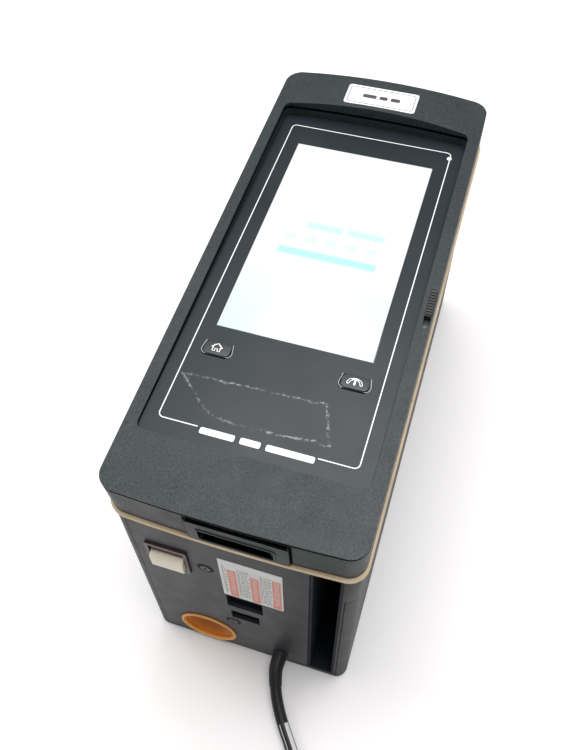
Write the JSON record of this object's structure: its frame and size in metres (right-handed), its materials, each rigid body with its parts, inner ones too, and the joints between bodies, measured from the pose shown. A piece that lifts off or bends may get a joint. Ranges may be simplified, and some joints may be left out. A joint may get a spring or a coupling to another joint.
{
  "type": "industrial tightening tool controller",
  "caption": "Wall controller for a cabled nutrunner: hinged touch-screen door with pull latch over a box with mains switch, tool socket and coiled mains lead.",
  "frame": {"origin": "middle of the wall fixing pattern on the back plate's outer face, which it lies on", "axes": "+X width, +Y from the connector end to the top of the display, +Z out of the display"},
  "size_m": [0.194, 0.6205, 0.2549],
  "materials": {
    "bezel_paint": "fine textured satin paint",
    "panel_film": "matt printed film",
    "screen_glass": "lit display behind clear glass",
    "lens_plastic": "clear lens",
    "housing_paint": "fine textured powder coat",
    "panel_paint": "satin powder coat",
    "channel_black": "matt moulded",
    "seal_rubber": "soft closed-cell rubber",
    "cap_plastic": "moulded",
    "rocker_plastic": "moulded",
    "switch_plastic": "moulded",
    "label_stock": "printed vinyl",
    "plate_silver": "anodised",
    "sheet_steel": "zinc plated",
    "fastener_steel": "bright",
    "brass_insert": "turned",
    "bare_aluminium": "extruded",
    "contact_gold": "plated",
    "board_green": "solder mask",
    "part_black": "moulded",
    "insert_grey": "moulded",
    "key_rubber": "matt printed key",
    "cord_black": "flexible cord jacket",
    "plug_black": "moulded"
  },
  "bodies": {
    "box": {"seal": "seal_rubber", "housing": "housing_paint", "connector_panel": "panel_paint", "channel_liner": "channel_black", "panel_screws": "fastener_steel", "switch_frame": "switch_plastic", "switch_body": "part_black", "tool_socket": "bare_aluminium", "socket_insert": "insert_grey", "socket_pins": "contact_gold", "upper_port": "part_black", "lower_port": "part_black", "rating_label": "label_stock", "hinge_brackets": "sheet_steel", "hinge_pins": "fastener_steel", "wall_plate": "sheet_steel", "wall_inserts": "brass_insert", "power_supply": "bare_aluminium", "mains_filter": "sheet_steel", "earth_studs": "brass_insert", "heat_sink": "bare_aluminium", "drive_board": "board_green", "capacitors": "part_black", "fan_frame": "part_black", "card_frame": "sheet_steel", "frame_posts": "bare_aluminium", "main_board": "board_green", "board_fixings": "fastener_steel", "board_parts": "part_black", "coin_cell": "fastener_steel", "chip_cooler": "bare_aluminium", "interface_board": "board_green", "option_module": "insert_grey", "strain_relief": "plug_black", "gland_nut": "plug_black", "mains_lead": "cord_black", "lead_coil": "cord_black", "lead_tail": "cord_black", "plug_body": "plug_black", "plug_pins": "contact_gold"},
    "door": {"front_frame": "bezel_paint", "front_panel": "panel_film", "touch_screen": "screen_glass", "status_lens": "lens_plastic", "display_module": "sheet_steel", "display_tray": "sheet_steel", "display_board": "board_green", "display_chips": "part_black", "key_board": "board_green", "nameplate": "plate_silver", "latch_pin": "fastener_steel", "latch_spring": "fastener_steel"},
    "latch_handle": {"latch_handle": "bezel_paint"},
    "thumb_slider": {"thumb_slider": "part_black"},
    "home_key": {"home_key": "key_rubber"},
    "gauge_key": {"gauge_key": "key_rubber"},
    "switch_rocker": {"switch_rocker": "rocker_plastic"},
    "dust_cap": {"dust_cap": "cap_plastic"},
    "side_cover": {"side_cover": "housing_paint"},
    "fan_rotor": {"fan_rotor": "part_black"}
  },
  "joints": [
    {"name": "door_hinge", "type": "hinge", "parent": "box", "child": "door", "pos_m": [0, 0.2015, 0.21015], "axis": [-1, 0, 0], "range_deg": [0, 95]},
    {"name": "latch_pivot", "type": "hinge", "parent": "door", "child": "latch_handle", "pos_m": [0.0064, -0.191, 0.2388], "axis": [-1, 0, 0], "range_deg": [0, 18], "stiffness_Nm_per_rad": 0.06, "springref_deg": -17.19},
    {"name": "slider_travel", "type": "slide", "parent": "door", "child": "thumb_slider", "axis": [0, -1, 0], "range_m": [0, 0.009]},
    {"name": "home_key_press", "type": "slide", "parent": "door", "child": "home_key", "axis": [0, -0.0244, -0.9997], "range_m": [0, 0.0008], "stiffness_N_per_m": 300, "springref_m": -0.0005},
    {"name": "gauge_key_press", "type": "slide", "parent": "door", "child": "gauge_key", "axis": [0, -0.0244, -0.9997], "range_m": [0, 0.0008], "stiffness_N_per_m": 300, "springref_m": -0.0005},
    {"name": "rocker_tilt", "type": "hinge", "parent": "box", "child": "switch_rocker", "pos_m": [-0.049, -0.19467, 0.15874], "axis": [1, 0, 0], "range_deg": [0, 20]},
    {"name": "dust_cap_pull", "type": "slide", "parent": "box", "child": "dust_cap", "axis": [0, -0.9962, 0.0872], "range_m": [0, 0.06]},
    {"name": "side_cover_slide", "type": "slide", "parent": "box", "child": "side_cover", "axis": [0, -1, 0], "range_m": [0, 0.08]},
    {"name": "fan_spin", "type": "hinge", "parent": "box", "child": "fan_rotor", "pos_m": [0.029, 0.125, 0.037], "axis": [0, 1, 0], "continuous": true}
  ]
}
